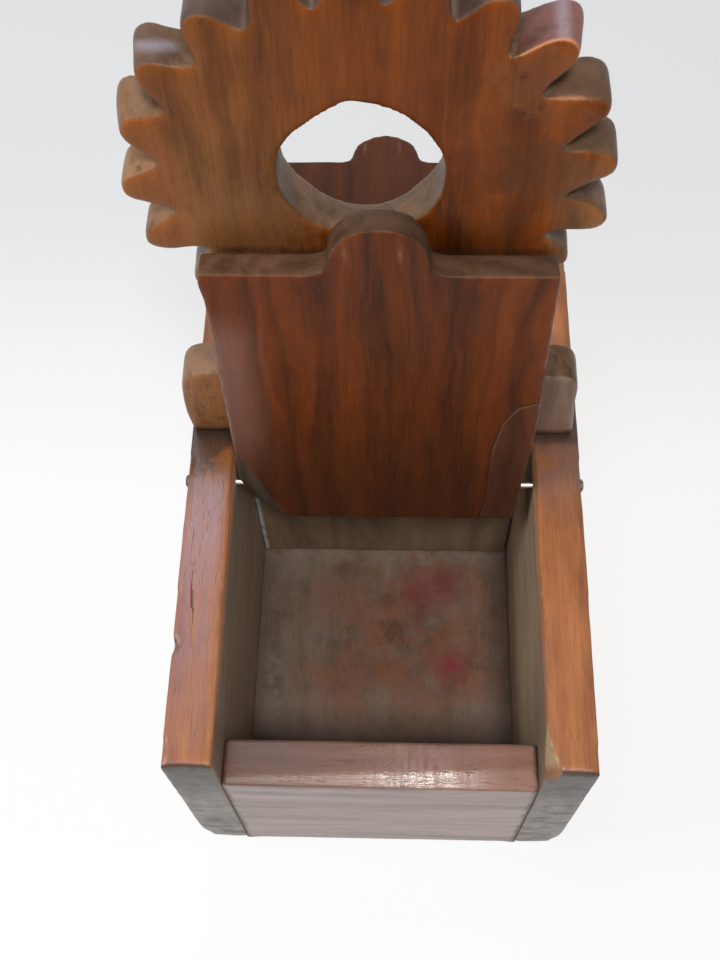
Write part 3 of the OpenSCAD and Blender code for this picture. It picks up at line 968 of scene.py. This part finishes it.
def floor_stains(wood):
    """An orange stain under dark clouds, three red ones with a bright drop, and a dark spot."""
    blotch = wood.step(wood.noise(wood.place, 0.06, 5.0, 0.7), 0.30, 0.62)
    orange = wood.times(wood.step(wood.far(wood.place, (-48.0, 8.0, 9.0)), 62.0, 26.0), blotch)
    wood.stain(wood.times(orange, 0.78), (0.255, 0.092, 0.042))
    clouds = wood.step(wood.noise(wood.place, 0.09, 4.0, 0.6), 0.42, 0.78)
    wood.stain(wood.times(clouds, 0.55), (0.058, 0.043, 0.032))
    drop = (-59.0, 29.0, 9.0)
    for centre, reach in (((-26.0, 16.0, 9.0), 15.0), ((-22.0, 26.0, 9.0), 13.0), (drop, 13.0)):
        red = wood.step(wood.torn(wood.far(wood.place, centre), 18.0), reach, 2.0)
        wood.stain(wood.times(red, 0.42), (0.22, 0.020, 0.038))
    bright = wood.step(wood.far(wood.place, drop), 5.0, 0.0)
    wood.stain(wood.times(bright, 0.5), (0.36, 0.020, 0.070))
    wood.stain(wood.times(wood.spot((-45.0, 4.0, 9.0), 7.0, 0.9), 0.4), (0.05, 0.03, 0.02))


def floor_dust(wood):
    """Dust along the rear and the left, painted light along the front, and painted shade along both sides.
    """
    rear = wood.times(wood.band(wood.along, -9.0, 7.0), wood.step(wood.ragged, 0.30, 0.75))
    left = wood.times(wood.band(wood.across, -46.0, 7.0), wood.step(wood.ragged, 0.40, 0.75))
    wood.stain(wood.times(rear, 0.7), (0.26, 0.21, 0.17))
    wood.stain(wood.times(left, wood.step(wood.along, -40.0, -60.0), 0.7), (0.30, 0.27, 0.23))
    # Painted light towards the front
    wood.stain(wood.times(wood.step(wood.along, -60.0, -95.0), 0.4), (0.30, 0.215, 0.175))
    # Painted shade along both sides
    wood.stain(wood.times(wood.step(wood.size(wood.across), 40.0, 54.0), 0.5), GRIME_AND_SHADE)


# Distances from the middle, in metres, between which a nail's shank becomes its head
SHANK_TO = 0.068
HEAD_FROM = 0.070


def nail_steel(name):
    """Bright drawn wire with dark, rusty heads."""
    graph = Graph(name)
    place = graph.node("TexCoord", {}, "Object")
    out, _, _ = graph.split(place)
    head = graph.step(graph.size(out), SHANK_TO, HEAD_FROM)
    rust = graph.step(graph.noise(place, 900.0, 4.0), 0.50, 0.68)
    rust = graph.maths("MAXIMUM", graph.times(rust, 0.7), graph.times(head, 0.9))
    colour = graph.mix(rust, (0.72, 0.69, 0.62), (0.09, 0.06, 0.045))
    bump = graph.node("Bump", {"Distance": 0.03 * MM, "Height": rust}, 0)
    graph.put(graph.shader.inputs["Base Color"], colour)
    graph.put(graph.shader.inputs["Roughness"], graph.add(graph.times(rust, 0.35), 0.25))
    graph.put(graph.shader.inputs["Normal"], bump)
    graph.shader.inputs["Metallic"].default_value = 1.0
    return graph.material


# Pieces

# Sizes of the skins' quads in millimetres
SIDE_VOXEL = 1.25
FINE_VOXEL = 1.0


def piece(node, body, material, shape):
    """One weathered board that stands for a node."""
    shape.data.materials.append(material)
    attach(shape, body)
    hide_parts(node)


def paint(node, material):
    """Gives another material to a node that keeps its CAD shape."""
    materials = frame["nodes"][node].data.materials
    materials.clear()
    materials.append(material)


piece(
    "side_left", "carcass",
    side_wood("side_left_wood", seed=1, inward=1, sheen_and_bloom=0.5),
    weathered("side_left_board", hull("side_left"), SIDE, SIDE_VOXEL,
              passes=1, wave=0.25, seed=1, wear=wear_left_side),
)
piece(
    "side_right", "carcass",
    side_wood("side_right_wood", seed=2, inward=-1, sheen_and_bloom=0.0),
    weathered("side_right_board", hull("side_right"), SIDE, SIDE_VOXEL,
              passes=1, wave=0.25, seed=2, wear=wear_right_side),
)
piece(
    "front_board", "carcass",
    cross_wood("front_wood", seed=3, outward=1),
    weathered("front_plank", hull("front_board"), CROSS, FINE_VOXEL,
              passes=3, wave=0.1, seed=3, wear=wear_front),
)
piece(
    "rear_board", "carcass",
    cross_wood("rear_wood", seed=4, outward=-1),
    weathered("rear_plank", hull("rear_board"), CROSS, FINE_VOXEL,
              passes=1, wave=0.2, seed=4),
)
piece(
    "handle_board", "carcass",
    handle_wood("handle_wood", seed=5),
    weathered("carved_handle", slab("handle_board", -Y), HANDLE, FINE_VOXEL,
              passes=4, wave=0.3, seed=5, wear=wear_handle, blunt=lobes),
)
piece(
    "front_lid", "front_lid",
    lid_wood("front_lid_wood", seed=6, board=FRONT_LID),
    weathered("front_lid_panel", slab("front_lid", FRONT_LID.axes[THROUGH]), FRONT_LID, FINE_VOXEL,
              passes=2, wave=0.2, seed=6, wear=wear_front_lid),
)
piece(
    "rear_lid", "rear_lid",
    lid_wood("rear_lid_wood", seed=7, board=REAR_LID),
    weathered("rear_lid_panel", slab("rear_lid", REAR_LID.axes[THROUGH]), REAR_LID, FINE_VOXEL,
              passes=2, wave=0.2, seed=7, wear=wear_rear_lid),
)

paint("bottom_board", floor_wood("floor_wood", seed=8))
steel = nail_steel("nail_steel")
for node in frame["nodes"]:
    if node.endswith(("nail", "nails")):
        paint(node, steel)


# Stage, lights and camera


def softbox(name, direction, distance, width, watts, colour):
    """A square lamp that faces the middle of the object."""
    lamp = bpy.data.lights.new(name, "AREA")
    lamp.size = width
    lamp.energy = watts
    lamp.color = colour
    holder = bpy.data.objects.new(name, lamp)
    towards = Vector(unit(direction))
    holder.location = Vector(LIGHTS_FACE) + towards * distance
    holder.rotation_mode = "QUATERNION"
    holder.rotation_quaternion = towards.to_track_quat("Z", "Y")
    bpy.context.scene.collection.objects.link(holder)


def seen(tree):
    """1 for what the camera sees, straight or in a shine or through glass, and 0 for light."""
    path = tree.nodes.new("ShaderNodeLightPath")
    total = path.outputs["Is Camera Ray"]
    for name in ("Is Glossy Ray", "Is Transmission Ray"):
        most = tree.nodes.new("ShaderNodeMath")
        most.operation = "MAXIMUM"
        tree.links.new(total, most.inputs[0])
        tree.links.new(path.outputs[name], most.inputs[1])
        total = most.outputs[0]
    return total


def floor_white():
    """A pale floor that looks white, greys a little behind the object and fades into what lies beyond."""
    graph = Graph("floor_white")
    graph.put(graph.shader.inputs["Base Color"], FLOOR_COLOUR)
    graph.put(graph.shader.inputs["Roughness"], 0.9)
    place = graph.node("TexCoord", {}, "Object")
    _, back, _ = graph.split(place)
    white = graph.mix(graph.step(back, FAR_FROM, FAR_TO), (NEAR_WHITE,) * 3, (FAR_WHITE,) * 3)
    fade = graph.step(graph.far(place, (0.0, 0.0, 0.0)), FADE_FROM, FADE_TO)
    white = graph.mix(fade, white, (BACKDROP,) * 3)
    glow = graph.node("Emission", {"Color": white}, 0)
    share = graph.add(graph.times(fade, 1.0 - GLOW_SHARE), GLOW_SHARE)
    share = graph.times(seen(graph.tree), share)
    surface = graph.node("MixShader", {0: share, 1: graph.shader.outputs[0], 2: glow}, 0)
    graph.put(graph.tree.nodes["Material Output"].inputs["Surface"], surface)
    return graph.material


def floor_sheet():
    """A wide sheet under the object."""
    mesh = bpy.data.meshes.new("floor")
    corners = [(-1, -1, 0), (1, -1, 0), (1, 1, 0), (-1, 1, 0)]
    mesh.from_pydata([Vector(corner) * FLOOR_HALF for corner in corners], [], [(0, 1, 2, 3)])
    mesh.materials.append(floor_white())
    sheet = bpy.data.objects.new("floor", mesh)
    bpy.context.scene.collection.objects.link(sheet)


def camera():
    """The camera at its place, with its turn and lens."""
    lens = bpy.data.cameras.new("camera")
    lens.sensor_width = SENSOR_WIDTH
    lens.lens = CAMERA_LENS
    lens.clip_start = 0.01
    holder = bpy.data.objects.new("camera", lens)
    holder.location = Vector(CAMERA_PLACE) * MM
    holder.rotation_euler = [math.radians(angle) for angle in CAMERA_TURN]
    bpy.context.scene.collection.objects.link(holder)
    bpy.context.scene.camera = holder


def world():
    """Even light from all round, and what the camera sees beyond the floor."""
    made = bpy.data.worlds.new("studio")
    made.use_nodes = True
    tree = made.node_tree
    background = tree.nodes["Background"]
    background.inputs["Color"].default_value = (1, 1, 1, 1)
    strength = tree.nodes.new("ShaderNodeMapRange")
    strength.inputs["To Min"].default_value = AMBIENT
    strength.inputs["To Max"].default_value = BACKDROP
    tree.links.new(seen(tree), strength.inputs["Value"])
    tree.links.new(strength.outputs[0], background.inputs["Strength"])
    bpy.context.scene.world = made


softbox("key", **KEY_LIGHT)
softbox("window", **WINDOW_LIGHT)
softbox("left", **LEFT_LIGHT)
floor_sheet()
camera()
world()
bpy.context.scene.view_settings.view_transform = "Standard"
